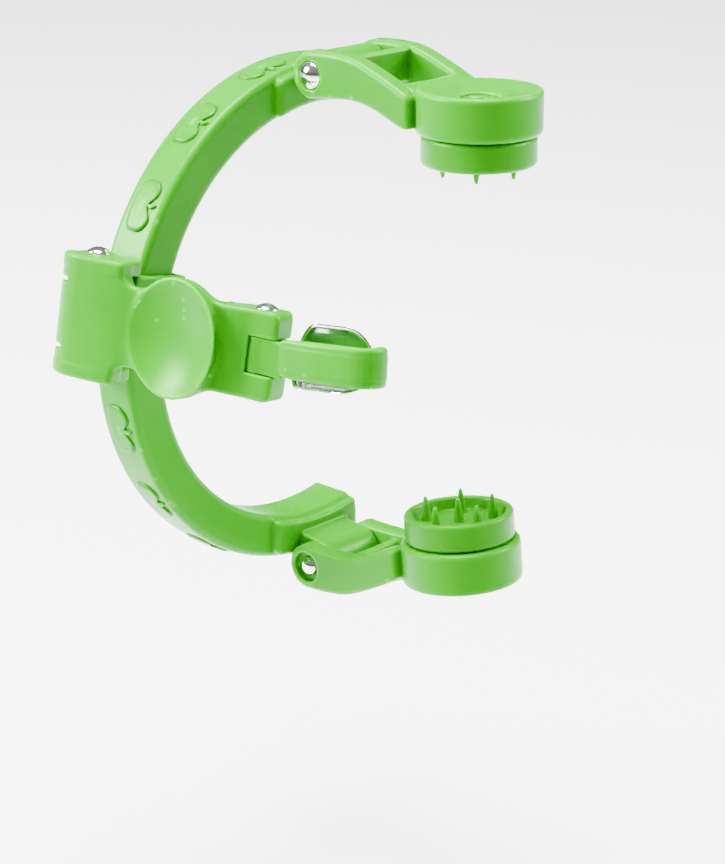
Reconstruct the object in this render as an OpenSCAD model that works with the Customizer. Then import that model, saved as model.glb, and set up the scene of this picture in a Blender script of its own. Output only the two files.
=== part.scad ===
// Hand-held apple peeler: a C-shaped bow carries two hinged clamp arms with turning
// fruit cups, and a peeling head that slides along the bow.
// Shapes are drawn with the fruit axis on Z and the origin halfway between the two arm
// hinges. frame_shift then puts the origin in the middle of the whole peeler's box.

/* [Bow] */
// Outer radius of the bow
bow_outer_radius = 47.6; // [40:0.1:60]
// Radial thickness of the bow
bow_thickness = 8.1; // [6:0.1:10]
// Width of the bow along Y
bow_width = 9.2; // [7:0.1:12]
// Rounding of the bow's four long edges
bow_edge_radius = 1.2; // [0.6:0.1:2]
// How far the bow runs past its top, in mm along X
bow_end_reach = 10; // [6:0.5:14]
// Height of the plain raised discs on the bow's outer face
relief_height = 0.35; // [0:0.05:0.5]

/* [Clamp arms] */
// Half the distance between the two arm hinges
hinge_half_height = 46.7; // [42:0.1:60]
// Distance from an arm hinge to the fruit axis
arm_length = 30.3; // [28:0.1:40]
// Gap between the arm hinge axis and the bow's near face
lug_reach = 6.6; // [6:0.1:9]
// Half the overall width of an arm
arm_half_width = 10.2; // [9:0.1:12]
// Thickness of each arm wall
arm_wall = 3.9; // [3:0.1:5]
// Radius of the rounded arm end round the hinge
arm_end_radius = 4.3; // [4:0.1:4.8]
// Inward fold of the upper arm as shown, in degrees
upper_fold = -1.5; // [-10:0.5:20]
// Inward fold of the lower arm as shown, in degrees
lower_fold = 7; // [-10:0.5:20]
// Radius of the arm rivet shank
arm_pin_radius = 1.5; // [1.2:0.05:2]

/* [Fruit cups] */
// Radius of the hub at the end of an arm
hub_radius = 11; // [10:0.1:12.5]
// Height of the hub
hub_height = 7.8; // [7:0.1:9]
// Depth of the hub's fruit side below the hinge axis
hub_drop = 7.7; // [6.5:0.1:9]
// Radius of a fruit cup
cup_radius = 10.05; // [9:0.05:11]
// Visible height of a fruit cup
cup_height = 5.3; // [4:0.1:7]
// Length of the prongs in the cup
prong_length = 5; // [3:0.5:7]
// Number of prongs round the middle one
prong_count = 5; // [3:1:6]

/* [Peeling head] */
// Angle of the head above the middle of the bow
head_angle = 10.2; // [-50:0.5:50]
// Half the length of the slider along the bow
slider_half_length = 7.7; // [6:0.1:8]
// Wall of the slider's legs
slider_wall = 1.4; // [1.2:0.1:1.8]
// Distance of the lever hinge outside the bow's outer face
lever_hinge_height = 3.7; // [3.6:0.1:5]
// Length from the lever hinge to the blade holder's hinge
lever_length = 34.4; // [33:0.1:40]
// Half the width of the lever at its ears
lever_half_width = 10.6; // [10.4:0.1:12]
// Radius of the thumb pad
thumb_radius = 10.3; // [9.5:0.1:12]
// Distance of the thumb pad's middle from the lever hinge
thumb_distance = 20.2; // [19.5:0.1:21]
// Half the length of the thumb pad along the lever
thumb_half_length = 9.4; // [8.5:0.1:9.6]
// Outward tilt of the thumb pad from the lever, in degrees
thumb_tilt = 8.9; // [4:0.1:11]
// Inward swing of the lever as shown, in degrees
lever_swing = 12.4; // [6:0.1:14]
// Radius of the lever rivet shank
lever_pin_radius = 1.5; // [1.2:0.05:1.6]

/* [Blade] */
// Inward swing of the blade holder from the lever as shown, in degrees
holder_swing = 0.2; // [-10:0.1:10]
// Length from the holder's hinge to its tip
holder_length = 23.4; // [22.5:0.1:26]
// Upward crank of the holder's bar from square to its hinge, in degrees
bar_crank = 5.6; // [0:0.1:7]
// How far the holder arches outwards over the blade
holder_arch = 3.5; // [3.3:0.1:4.5]
// Half the width of the blade holder
holder_half_width = 3.3; // [2.8:0.1:3.6]
// Radius of the holder rivet shank
holder_pin_radius = 1.2; // [1:0.05:1.4]
// Half the width of the blade
blade_half_width = 5.6; // [4.5:0.1:6]
// Thickness of the blade
blade_thickness = 0.5; // [0.4:0.05:0.8]
// Radius that the blade is curved to
blade_curve_radius = 6.2; // [6.1:0.1:8]
// Rocking angle of the blade as shown, in degrees
blade_rock = 22; // [-15:1:24]

/* [Fits] */
// Radial clearance of a turning fit
running_clearance = 0.05; // [0.02:0.01:0.09]
// Radial clearance where a rivet is held fast
held_clearance = 0.02; // [0.01:0.01:0.04]
// Clearance of the slider on the bow
slider_clearance = 0.07; // [0.03:0.01:0.1]
// Side gap between parts that turn past each other
side_gap = 0.15; // [0.1:0.05:0.3]

/* [Hidden] */
$fn = 96;
eps = 0.01;
// Moves the fruit axis so that the frame's origin is the middle of the peeler's box.
frame_shift = [23.22, -16.82, -0.13];
bow_inner_radius = bow_outer_radius - bow_thickness;
bow_near_y = arm_length + lug_reach;
bow_far_y = bow_near_y + bow_width;
bow_mid_radius = bow_outer_radius - bow_thickness / 2;
bow_end_angle = asin(bow_end_reach / bow_mid_radius);
relief_radius = 3.3;
relief_angles = [-58.5, -36.8, -15.8, 33.8, 55.3, 77.3];
slot_half_width = arm_half_width - arm_wall;
lug_half_width = slot_half_width - side_gap;
lug_radius = arm_end_radius - 0.4;
pad_depth = 1.6;
window_start = 8.9;
window_end = arm_length - hub_radius;
bar_start = 7.1;
wall_end = arm_length - 7.5;
big_head_radius = arm_pin_radius + 0.95;
small_head_radius = arm_pin_radius + 0.4;
big_seat_depth = 0.6;
small_seat_depth = 1.2;
big_seat_radius = big_head_radius + 0.1;
small_seat_radius = small_head_radius + 0.95;
head_rise = 1.1;
small_head_rise = 0.9;
dish_depth = 1.7;
dish_radius = hub_radius - 1.5;
stem_radius = 2.6;
boss_radius = 5.9;
boss_height = 2.8;
recess_height = 3;
snap_height = 1.2;
snap_radius = stem_radius + 0.55;
snap_slot = 0.9;
cup_gap = 0.2;
cup_dish_depth = 2.2;
prong_circle = 6.4;
prong_base = 1.1;
hinge_radius = bow_outer_radius + lever_hinge_height;
hinge_y = bow_near_y + 0.66 * bow_width;
knuckle_radius = 3.4;
roof_groove = 0.8;
roof_height = 2;
keeper_thickness = 1.6;
keeper_gap = 0.03;
tab_half_length = 3;
tab_height = 0.8;
curl_inner_radius = knuckle_radius + 0.3;
curl_outer_radius = 5.8;
curl_end_angle = 38;
ear_inner = slider_half_length + side_gap;
ear_reach = 8.2;
ear_drop = 1.6;
slit_width = 0.8;
slit_depth = 2.1;
slit_place = ear_inner - 2;
pin_head_radius = 2.15;
pin_head_rise = 1.1;
thumb_face = 5.8;
thumb_thickness = 3.2;
dimple_depth = 1.7;
dimple_edge = 1;
neck_half_width = 7;
fork_slot_half = 3.15;
fork_slot_start = lever_length - 2.3;
fork_root = lever_length - 3.2;
fork_half_width = 7.5;
fork_end = lever_length + 4.2;
fork_half_height = 3;
fork_corner = 1.8;
holder_knuckle_half = fork_slot_half - 0.1;
holder_knuckle_radius = 2.8;
bar_start_along = fork_end - lever_length + 1;
holder_head_radius = 2;
bar_thickness = 2.6;
bar_foot_half = 2;
post_start = 3.6;
post_end = 6;
tip_thickness = 2.2;
tip_start = holder_length - tip_thickness;
rock_axis = 0.9;
stub_radius = 0.7;
stub_length = 1.3;
blade_gap = 0.25;
blade_start = post_end + blade_gap;
blade_end = tip_start - blade_gap;
blade_length = blade_end - blade_start;
blade_centre = 4.4;
blade_end_radius = 1;
blade_corner = 4.6;
blade_slot_half = 0.9;
plastic = [0.45, 0.85, 0.2];
plastic_dark = [0.4, 0.78, 0.17];
steel = [0.75, 0.76, 0.78];

// A rectangle with rounded corners, from (x0, y0) to (x1, y1).
module round_box(x0, y0, x1, y1, r) {
  translate([x0 + r, y0]) square([x1 - x0 - 2 * r, y1 - y0]);
  translate([x0, y0 + r]) square([x1 - x0, y1 - y0 - 2 * r]);
  for (x = [x0 + r, x1 - r]) for (y = [y0 + r, y1 - r])
    translate([x, y]) circle(r);
}

// A domed rivet head, flat side at z = 0 and crown at z = rise.
module dome(r, rise) {
  sphere_r = (r * r + rise * rise) / (2 * rise);
  intersection() {
    translate([0, 0, rise - sphere_r]) sphere(sphere_r);
    cylinder(r = r + 1, h = rise + 1);
  }
}

// A section in radius and Y turned about the bow's axis, centred on -X, over +-half degrees.
module bow_sweep(half) {
  rotate([-90, 0, 0]) rotate([0, 0, 180 - half])
    rotate_extrude(angle = 2 * half) children();
}

// Placing the moving groups.
module upper_place() {
  translate(frame_shift + [0, arm_length, hinge_half_height]) rotate([upper_fold, 0, 0]) children();
}
module lower_place() {
  translate(frame_shift + [0, arm_length, -hinge_half_height]) rotate([0, 180, 0])
    rotate([lower_fold, 0, 0]) children();
}
module head_place() {
  translate(frame_shift) rotate([0, head_angle, 0]) children();
}
// Lever frame: the hinge on Z, the lever along -Y and its outside towards -X.
module lever_place() {
  head_place() translate([-hinge_radius, hinge_y, 0]) rotate([0, 0, lever_swing]) children();
}
module holder_place() {
  lever_place() translate([0, -lever_length, 0]) rotate([0, 0, holder_swing]) children();
}
// The bar's frame: the holder's, cranked up about the middle of its hinge.
module bar_place() {
  holder_place() rotate([-bar_crank, 0, 0]) children();
}
module blade_place() {
  bar_place() translate([-rock_axis, 0, 0]) rotate([0, blade_rock, 0]) children();
}

// Side view shapes are drawn as (distance along the piece, height outwards) and stood up here.
module side_sheet(half) {
  rotate([0, 0, -90]) mirror([0, 1, 0]) translate([0, 0, -half]) linear_extrude(2 * half) children();
}

module lug(side) {
  scale([1, 1, side]) translate([0, arm_length, hinge_half_height]) {
    rotate([0, 90, 0]) translate([0, 0, -lug_half_width]) cylinder(r = lug_radius, h = 2 * lug_half_width);
    rotate([90, 0, 90]) translate([0, 0, -lug_half_width]) linear_extrude(2 * lug_half_width)
      polygon([[0, lug_radius], [0, -lug_radius], [lug_reach + 2, -lug_radius - 1.2],
               [lug_reach + 2, bow_outer_radius - hinge_half_height - 0.6], [lug_reach, bow_outer_radius - hinge_half_height]]);
  }
}

module bow_frame() {
  color(plastic) translate(frame_shift) difference() {
    union() {
      bow_sweep(90 + bow_end_angle)
        round_box(bow_inner_radius, bow_near_y, bow_outer_radius, bow_far_y, bow_edge_radius);
      for (s = [-1, 1]) {
        lug(s);
        rotate([0, s * 90, 0]) bow_sweep(bow_end_angle + 1)
          round_box(bow_inner_radius + 0.4, bow_near_y - pad_depth, bow_outer_radius - 0.4, bow_near_y + 1, 0.4);
      }
      if (relief_height > 0) for (a = relief_angles)
        rotate([0, a, 0]) translate([-bow_outer_radius - relief_height, (bow_near_y + bow_far_y) / 2, 0])
          rotate([0, 90, 0]) cylinder(r = relief_radius, h = relief_height + 0.5);
    }
    for (s = [-1, 1]) translate([-lug_half_width - 1, arm_length, s * hinge_half_height])
      rotate([0, 90, 0]) cylinder(r = arm_pin_radius + running_clearance, h = 2 * lug_half_width + 2);
  }
}

// One clamp arm, hinge at the origin, running along -Y, outside up.
module arm_wall_shape() {
  difference() {
    union() {
      circle(arm_end_radius);
      polygon([[-0.3, 4.28], [4, 4.45], [9, 4.2], [12, 3.3], [15, 2.2], [18.5, 0.8], [wall_end - 0.6, -0.9],
               [wall_end, -1.5], [wall_end, -hub_drop + 0.5], [wall_end - 0.6, -hub_drop], [wall_end - 1.2, -hub_drop],
               [18.5, -5.9], [14.7, -4.3], [10, -3.4], [6, -3.5], [0, -arm_end_radius]]);
    }
  }
}

module clamp_arm() {
  difference() {
    union() {
      for (s = [-1, 1]) translate([s * (arm_half_width - arm_wall / 2), 0, 0])
        rotate([90, 0, -90]) translate([0, 0, -arm_wall / 2]) linear_extrude(arm_wall) arm_wall_shape();
      translate([-slot_half_width - 1, -window_start, -2]) cube([2 * slot_half_width + 2, window_start - bar_start, 6]);
      translate([0, -arm_length, -hub_drop]) cylinder(r = hub_radius, h = hub_height);
      rotate([90, 0, -90]) translate([0, 0, -slot_half_width - 1]) linear_extrude(2 * slot_half_width + 2)
        polygon([[window_end, 0.4], [wall_end, -0.9], [wall_end, -hub_drop + 0.3], [window_end, -5.6]]);
    }
    // Dish, stem bore and the recess for the cup's boss.
    translate([0, -arm_length, hub_height - hub_drop]) {
      sphere_r = (dish_radius * dish_radius + dish_depth * dish_depth) / (2 * dish_depth);
      translate([0, 0, sphere_r - dish_depth]) sphere(sphere_r);
    }
    translate([0, -arm_length, hub_height - hub_drop - dish_depth - 0.3]) cylinder(r = snap_radius + 0.5, h = 4);
    translate([0, -arm_length, -hub_drop - 1]) cylinder(r = stem_radius + running_clearance, h = hub_height + 2);
    translate([0, -arm_length, -hub_drop - 1]) cylinder(r = boss_radius + running_clearance, h = recess_height + 1);
    // Rivet hole and the two head seats.
    rotate([0, 90, 0]) translate([0, 0, -arm_half_width - 1])
      cylinder(r = arm_pin_radius + held_clearance, h = 2 * arm_half_width + 2);
    translate([-arm_half_width - 1, 0, 0]) rotate([0, 90, 0]) cylinder(r = big_seat_radius, h = big_seat_depth + 1);
    translate([arm_half_width - small_seat_depth, 0, 0]) rotate([0, 90, 0])
      cylinder(r = small_seat_radius, h = small_seat_depth + 1);
  }
}

module arm_pin() {
  big_face = arm_half_width - big_seat_depth;
  small_face = arm_half_width - small_seat_depth;
  translate([-big_face, 0, 0]) rotate([0, 90, 0]) cylinder(r = arm_pin_radius, h = big_face + small_face);
  translate([-big_face, 0, 0]) rotate([0, -90, 0]) dome(big_head_radius, big_seat_depth + head_rise);
  translate([small_face, 0, 0]) rotate([0, 90, 0]) dome(small_head_radius, small_seat_depth + 0.1);
}

module fruit_cup() {
  floor_top = hub_height - dish_depth - 0.3;
  translate([0, -arm_length, -hub_drop]) difference() {
    union() {
      translate([0, 0, -cup_height]) cylinder(r = cup_radius, h = cup_height - cup_gap);
      cylinder(r = boss_radius, h = boss_height);
      translate([0, 0, -1]) cylinder(r = stem_radius, h = floor_top + 1.2);
      translate([0, 0, floor_top + 0.1]) cylinder(r1 = snap_radius, r2 = stem_radius - 0.3, h = snap_height);
      translate([0, 0, -cup_gap - 0.5]) cylinder(r = boss_radius, h = 1);
      translate([0, 0, -cup_height + cup_dish_depth + 0.5]) rotate([180, 0, 0])
        cylinder(r1 = prong_base, r2 = 0.25, h = prong_length);
    }
    difference() {
      translate([0, 0, -cup_height - eps]) cylinder(r1 = cup_radius - 1.2, r2 = cup_radius - 2, h = cup_dish_depth);
      translate([0, 0, -cup_height + cup_dish_depth + 0.5]) rotate([180, 0, 0])
        cylinder(r1 = prong_base, r2 = 0.25, h = prong_length);
      for (i = [0 : prong_count - 1]) rotate([0, 0, i * 360 / prong_count]) translate([prong_circle, 0, 0])
        translate([0, 0, -cup_height + cup_dish_depth + 0.5]) rotate([180, 0, 0])
          cylinder(r1 = prong_base, r2 = 0.25, h = prong_length);
    }
    for (a = [0, 90]) rotate([0, 0, a]) translate([-snap_radius - 1, -snap_slot / 2, recess_height + 0.5])
      cube([2 * snap_radius + 2, snap_slot, hub_height]);
  }
  for (i = [0 : prong_count - 1])
    translate([0, -arm_length, -hub_drop - cup_height + cup_dish_depth + 0.5])
      rotate([180, 0, i * 360 / prong_count]) translate([prong_circle, 0, 0])
        cylinder(r1 = prong_base, r2 = 0.25, h = prong_length);
}

module upper_arm() { color(plastic) upper_place() clamp_arm(); }
module lower_arm() { color(plastic) lower_place() clamp_arm(); }
module upper_arm_pin() { color(steel) upper_place() arm_pin(); }
module lower_arm_pin() { color(steel) lower_place() arm_pin(); }
module upper_cup() { color(plastic_dark) upper_place() fruit_cup(); }
module lower_cup() { color(plastic_dark) lower_place() fruit_cup(); }

// The slider wraps the bow from outside. Its bore follows the bow's section.
module slider_slab() {
  translate([-hinge_radius - 20, 0, -slider_half_length]) cube([hinge_radius + 20, 2 * bow_far_y, 2 * slider_half_length]);
}

module slider_body() {
  c = slider_clearance;
  inner = bow_inner_radius - c - keeper_thickness;
  roof = bow_outer_radius + roof_height;
  near = bow_near_y - c - slider_wall;
  far = bow_far_y + c + slider_wall;
  color(plastic_dark) head_place() difference() {
    union() {
      intersection() {
        bow_sweep(20) translate([inner, near]) square([roof - inner, far - near]);
        slider_slab();
      }
      translate([-hinge_radius, hinge_y, -slider_half_length]) cylinder(r = knuckle_radius, h = 2 * slider_half_length);
      translate([-hinge_radius, hinge_y - knuckle_radius, -slider_half_length])
        cube([lever_hinge_height - 0.8, 2 * knuckle_radius, 2 * slider_half_length]);
    }
    // The bore follows the bow, with a groove in the roof that clears the raised discs.
    bow_sweep(22) {
      round_box(bow_inner_radius - c, bow_near_y - c, bow_outer_radius + c, bow_far_y + c, bow_edge_radius + c);
      translate([inner - 1, bow_near_y - c]) square([keeper_thickness + 4, bow_width + 2 * c]);
      translate([bow_outer_radius - 2, (bow_near_y + bow_far_y) / 2 - relief_radius - 0.3])
        square([2 + roof_groove, 2 * relief_radius + 0.6]);
    }
    translate([-hinge_radius, hinge_y, -slider_half_length - 1])
      cylinder(r = lever_pin_radius + running_clearance, h = 2 * slider_half_length + 2);
    // Windows in the legs for the keeper's tabs.
    translate([-bow_inner_radius + 0.2, near - 1, -tab_half_length - keeper_gap])
      cube([tab_height + 0.1, far - near + 2, 2 * tab_half_length + 2 * keeper_gap]);
  }
}

module slider_keeper() {
  c = slider_clearance;
  inner = bow_inner_radius - c - keeper_thickness;
  color(plastic_dark) head_place() {
    intersection() {
      bow_sweep(20) translate([inner, bow_near_y - c + keeper_gap])
        square([keeper_thickness, bow_width + 2 * c - 2 * keeper_gap]);
      slider_slab();
    }
    translate([-bow_inner_radius + 0.25, bow_near_y - c - slider_wall, -tab_half_length])
      cube([tab_height, bow_width + 2 * c + 2 * slider_wall, 2 * tab_half_length]);
  }
}

// The part of the curl that stays, as (distance along, height outwards).
module curl_sector(low) {
  polygon([[0, 0], [-12 * cos(curl_end_angle), 12 * sin(curl_end_angle)], [-6, 14], [8, 14], [8, low]]);
}

// The lever seen from its side, as (distance along, height outwards).
module lever_side() {
  pad_start = thumb_distance - thumb_half_length;
  pad_end = thumb_distance + thumb_half_length;
  difference() {
    union() {
      intersection() {
        circle(curl_outer_radius);
        curl_sector(2.8);
      }
      polygon([[0, curl_outer_radius], [3, 5.75], [6, 5.5], [ear_reach, 5.1], [pad_start, 4.4], [pad_end, 5],
               [pad_end + 1.2, 4.1], [pad_end + 3, fork_half_height + 0.2], [lever_length, fork_half_height],
               [fork_end - 0.6, fork_half_height - 0.1], [fork_end, fork_half_height - 0.8],
               [fork_end, 1 - fork_half_height], [fork_end - 1, -fork_half_height], [fork_root, -fork_half_height],
               [fork_root - 2.5, -1.6], [pad_end - 3, 0.4], [pad_start, 0.9], [ear_reach, 1.6],
               [curl_inner_radius + 0.5, 2.2]]);
    }
    circle(curl_inner_radius);
    translate([0, -6]) square([curl_inner_radius, 6]);
  }
}

module lever_ear_side() {
  intersection() {
    circle(curl_outer_radius);
    curl_sector(0);
  }
  circle(knuckle_radius);
  polygon([[0, curl_outer_radius], [3, 5.75], [6, 5.5], [ear_reach, 5.1], [ear_reach, -ear_drop], [0, -ear_drop]]);
}

// The lever seen from outside, as (distance along, height up the bow).
module lever_plan() {
  pad_end = thumb_distance + thumb_half_length;
  neck_round = lever_half_width - neck_half_width;
  neck_place = ear_reach + neck_round - 0.4;
  difference() {
    union() {
      translate([-8, -lever_half_width]) square([8 + ear_reach, 2 * lever_half_width]);
      translate([ear_reach - 1, -lever_half_width]) square([neck_round + 0.6, 2 * lever_half_width]);
      translate([neck_place - 0.1, -neck_half_width]) square([thumb_distance - neck_place, 2 * neck_half_width]);
      intersection() {
        translate([thumb_distance, 0]) circle(thumb_radius);
        translate([neck_place, -20]) square([pad_end - neck_place, 40]);
      }
      polygon([[thumb_distance, -9.5], [pad_end, -fork_half_width - 0.7], [pad_end + 2.5, -fork_half_width],
               [fork_end - fork_corner, -fork_half_width], [fork_end - fork_corner, fork_half_width],
               [pad_end + 2.5, fork_half_width], [pad_end, fork_half_width + 0.7], [thumb_distance, 9.5]]);
      for (s = [0, 1]) mirror([0, s]) {
        translate([fork_end - fork_corner, fork_half_width - fork_corner]) circle(fork_corner);
        translate([fork_end - fork_corner, 0]) square([fork_corner, fork_half_width - fork_corner]);
      }
    }
    for (s = [-1, 1]) translate([neck_place, s * lever_half_width]) circle(neck_round);
    translate([fork_slot_start, -fork_slot_half]) square([20, 2 * fork_slot_half]);
  }
}

module peeling_lever() {
  dimple_radius = thumb_half_length - dimple_edge;
  dimple_sphere = (dimple_radius * dimple_radius + dimple_depth * dimple_depth) / (2 * dimple_depth);
  color(plastic) lever_place() difference() {
    union() {
      intersection() {
        side_sheet(lever_half_width + 2) lever_side();
        rotate([0, -90, 0]) translate([0, 0, -20]) linear_extrude(40) rotate(-90) lever_plan();
      }
      for (s = [-1, 1]) translate([0, 0, s * (ear_inner + lever_half_width) / 2])
        side_sheet((lever_half_width - ear_inner) / 2) lever_ear_side();
      // The thumb pad is a round disc cut flat at both ends.
      translate([-thumb_face, -thumb_distance, 0]) rotate([0, 0, -thumb_tilt]) intersection() {
        rotate([0, 90, 0]) cylinder(r = thumb_radius, h = thumb_thickness);
        translate([-1, -thumb_half_length, -20]) cube([10, 2 * thumb_half_length, 40]);
      }
    }
    translate([-thumb_face, -thumb_distance, 0]) rotate([0, 0, -thumb_tilt])
      translate([dimple_depth - dimple_sphere, 0, 0]) sphere(dimple_sphere);
    translate([0, 0, -lever_half_width - 1]) cylinder(r = lever_pin_radius + held_clearance, h = 2 * lever_half_width + 2);
    translate([0, -lever_length, -fork_half_width - 1])
      cylinder(r = holder_pin_radius + held_clearance, h = 2 * fork_half_width + 2);
    // The back of the fork's slot is round, about the holder's hinge.
    translate([0, -lever_length, -fork_slot_half]) cylinder(r = holder_knuckle_radius + 0.25, h = 2 * fork_slot_half);
    // Slits beside the ears, which let them spring over the slider.
    for (s = [-1, 1]) translate([-curl_outer_radius, 2.4, s * slit_place - slit_width / 2])
      cube([curl_outer_radius, slit_depth + 2, slit_width]);
  }
}

module lever_pin() {
  color(steel) lever_place() {
    translate([0, 0, -lever_half_width]) cylinder(r = lever_pin_radius, h = 2 * lever_half_width);
    for (s = [0, 180]) rotate([s, 0, 0]) translate([0, 0, lever_half_width]) dome(pin_head_radius, pin_head_rise);
  }
}

module holder_pin() {
  color(steel) lever_place() translate([0, -lever_length, 0]) {
    translate([0, 0, -fork_half_width]) cylinder(r = holder_pin_radius, h = 2 * fork_half_width);
    for (s = [0, 180]) rotate([s, 0, 0]) translate([0, 0, fork_half_width]) dome(holder_head_radius, 1);
  }
}

// The holder's arch seen from its side, as (distance along, height outwards).
module holder_arch_side() {
  low = holder_arch - bar_thickness / 2;
  high = holder_arch + bar_thickness / 2;
  end = holder_length;
  polygon([[1, -1.4], [post_start, -1.6], [post_end, -1.2], [post_end, low], [tip_start, low],
           [tip_start, -0.9], [tip_start + 0.6, -1.5],
           [end - 0.9, -1.5], [end, -0.6], [end, 1.2], [end - 0.5, 2.6], [end - 2, 4], [end - 4.5, high - 0.15],
           [end - 7, high], [12, high - 0.35], [8, high - 0.9], [4, holder_knuckle_radius + 0.4],
           [1, holder_knuckle_radius - 0.1]]);
}

module blade_holder() {
  low = holder_arch - bar_thickness / 2;
  color(plastic) difference() {
    union() {
      holder_place() {
        translate([0, 0, -holder_knuckle_half]) cylinder(r = holder_knuckle_radius, h = 2 * holder_knuckle_half);
        side_sheet(holder_knuckle_half)
          polygon([[0, holder_knuckle_radius - 0.1], [bar_start_along + 0.5, holder_knuckle_radius],
                   [bar_start_along + 0.5, -1], [0, 0.3 - holder_knuckle_radius]]);
      }
      bar_place() intersection() {
        side_sheet(holder_half_width) holder_arch_side();
        // Narrower underneath, where the blade rocks round it.
        union() {
          translate([-10, -bar_start_along - 0.1, -bar_foot_half]) cube([20, bar_start_along, 2 * bar_foot_half]);
          rotate([90, 0, 0]) translate([0, 0, bar_start_along]) linear_extrude(tip_start - bar_start_along + 1)
            polygon([[2, -bar_foot_half], [2, bar_foot_half], [-low + 0.6, bar_foot_half],
                     [-low - 1, holder_half_width], [-9, holder_half_width], [-9, -holder_half_width],
                     [-low - 1, -holder_half_width], [-low + 0.6, -bar_foot_half]]);
          translate([-10, -holder_length - 1, -holder_half_width]) cube([20, tip_thickness + 1, 2 * holder_half_width]);
        }
      }
    }
    holder_place() translate([0, 0, -10]) cylinder(r = holder_pin_radius + running_clearance, h = 20);
    bar_place() translate([-rock_axis, -post_end + stub_length + 0.2, 0]) rotate([90, 0, 0])
      cylinder(r = stub_radius + running_clearance, h = stub_length + 1);
    bar_place() translate([-rock_axis, -tip_start + 1, 0]) rotate([90, 0, 0])
      cylinder(r = stub_radius + running_clearance, h = stub_length + 1.2);
  }
}

// The blade is curved about a line parallel to its rocking axis, its hollow side outwards.
module peeling_blade() {
  mid = (blade_start + blade_end) / 2;
  color(steel) blade_place() {
    difference() {
      intersection() {
        translate([-blade_centre, -blade_start, 0]) rotate([90, 0, 0]) difference() {
          cylinder(r = blade_curve_radius, h = blade_length);
          translate([0, 0, -1]) cylinder(r = blade_curve_radius - blade_thickness, h = blade_length + 2);
        }
        translate([-3, -blade_end, -20]) cube([10, blade_length, 40]);
        rotate([0, 90, 0]) translate([0, 0, -10]) linear_extrude(20)
          round_box(-blade_half_width, -blade_end, blade_half_width, -blade_start, blade_corner);
      }
      rotate([0, 90, 0]) linear_extrude(20)
        round_box(-blade_slot_half, -blade_end + 2.6, blade_slot_half, -blade_start - 2.6, blade_slot_half - eps);
    }
    for (u = [blade_start, blade_end - 0.6]) {
      translate([0, -u, 0]) rotate([90, 0, 0]) cylinder(r = blade_end_radius, h = 0.6);
      translate([0, -u - 0.6, -blade_end_radius])
        cube([blade_curve_radius - blade_centre - 0.1, 0.6, 2 * blade_end_radius]);
    }
    translate([0, -blade_start + stub_length, 0]) rotate([90, 0, 0]) cylinder(r = stub_radius, h = stub_length + 0.3);
    translate([0, -blade_end + 0.3, 0]) rotate([90, 0, 0]) cylinder(r = stub_radius, h = stub_length + 0.3);
  }
}

bow_frame();
upper_arm();
lower_arm();
upper_arm_pin();
lower_arm_pin();
upper_cup();
lower_cup();
slider_body();
slider_keeper();
peeling_lever();
lever_pin();
blade_holder();
holder_pin();
peeling_blade();
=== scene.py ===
import math

import bpy
import numpy as np
from mathutils import Matrix, Vector


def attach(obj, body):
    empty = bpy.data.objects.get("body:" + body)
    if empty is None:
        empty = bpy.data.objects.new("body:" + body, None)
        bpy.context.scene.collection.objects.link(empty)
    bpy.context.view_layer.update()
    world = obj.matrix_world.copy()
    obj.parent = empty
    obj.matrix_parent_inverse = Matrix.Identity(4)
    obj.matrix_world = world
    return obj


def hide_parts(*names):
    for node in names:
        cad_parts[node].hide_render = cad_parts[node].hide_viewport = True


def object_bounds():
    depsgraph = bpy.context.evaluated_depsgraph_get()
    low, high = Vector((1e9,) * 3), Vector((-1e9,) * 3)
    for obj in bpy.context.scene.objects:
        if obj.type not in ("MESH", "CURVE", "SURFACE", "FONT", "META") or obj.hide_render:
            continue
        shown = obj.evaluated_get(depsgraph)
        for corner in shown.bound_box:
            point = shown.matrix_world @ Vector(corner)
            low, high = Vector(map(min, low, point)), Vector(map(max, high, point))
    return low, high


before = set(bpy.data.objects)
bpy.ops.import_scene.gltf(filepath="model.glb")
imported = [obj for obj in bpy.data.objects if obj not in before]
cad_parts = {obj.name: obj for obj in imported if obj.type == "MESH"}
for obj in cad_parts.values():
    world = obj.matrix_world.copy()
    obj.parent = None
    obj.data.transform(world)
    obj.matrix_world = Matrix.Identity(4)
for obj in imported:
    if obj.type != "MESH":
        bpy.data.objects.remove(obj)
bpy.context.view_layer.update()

# ---------------------------------------------------------------- sizes, in millimetres
# The fruit axis is Z through this point, halfway between the two arm hinges.
SHIFT = Vector((23.22, -16.82, -0.13))
ARM_LENGTH, HINGE_HEIGHT = 30.3, 46.7
UPPER_FOLD, LOWER_FOLD = -1.5, 7.0
BOW_OUT, BOW_IN, BOW_NEAR, BOW_FAR = 47.6, 39.5, 36.9, 46.1
BOW_END = 13.3
HUB_R, HUB_H, HUB_DROP = 11.0, 7.8, 7.7
HEAD_ANGLE, HINGE_R, HINGE_Y = 10.2, 51.3, 42.97
LEVER_LENGTH, LEVER_SWING = 34.4, 12.4
HOLDER_SWING, BAR_CRANK, ROCK_AXIS, BLADE_ROCK = 0.2, 5.6, 0.9, 22.0
HEAD_HALF = 7.7
FINE_STEP, QUICK_STEP = 0.32, 0.5

# ---------------------------------------------------------------- camera and stage
# Angles in degrees, distances in metres, lens and sensor in millimetres. The camera stands on a line
# through the fruit axis's middle, and is aimed AIM_SIDE and AIM_UP away from that middle.
CAMERA_AZIMUTH, CAMERA_ELEVATION, CAMERA_ROLL, CAMERA_DISTANCE = 50.762, 17.6, 1.83, 0.41569
AIM_SIDE, AIM_UP = -2.6512, -1.8953
LENS, SENSOR = 97.8164, 36.0
FLOOR_SIZE, FLOOR_DROP = 6.0, 0.055


# ---------------------------------------------------------------- places
def turn(axis, degrees):
    return Matrix.Rotation(math.radians(degrees), 4, axis)


def move(x, y, z):
    return Matrix.Translation((x, y, z))


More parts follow.
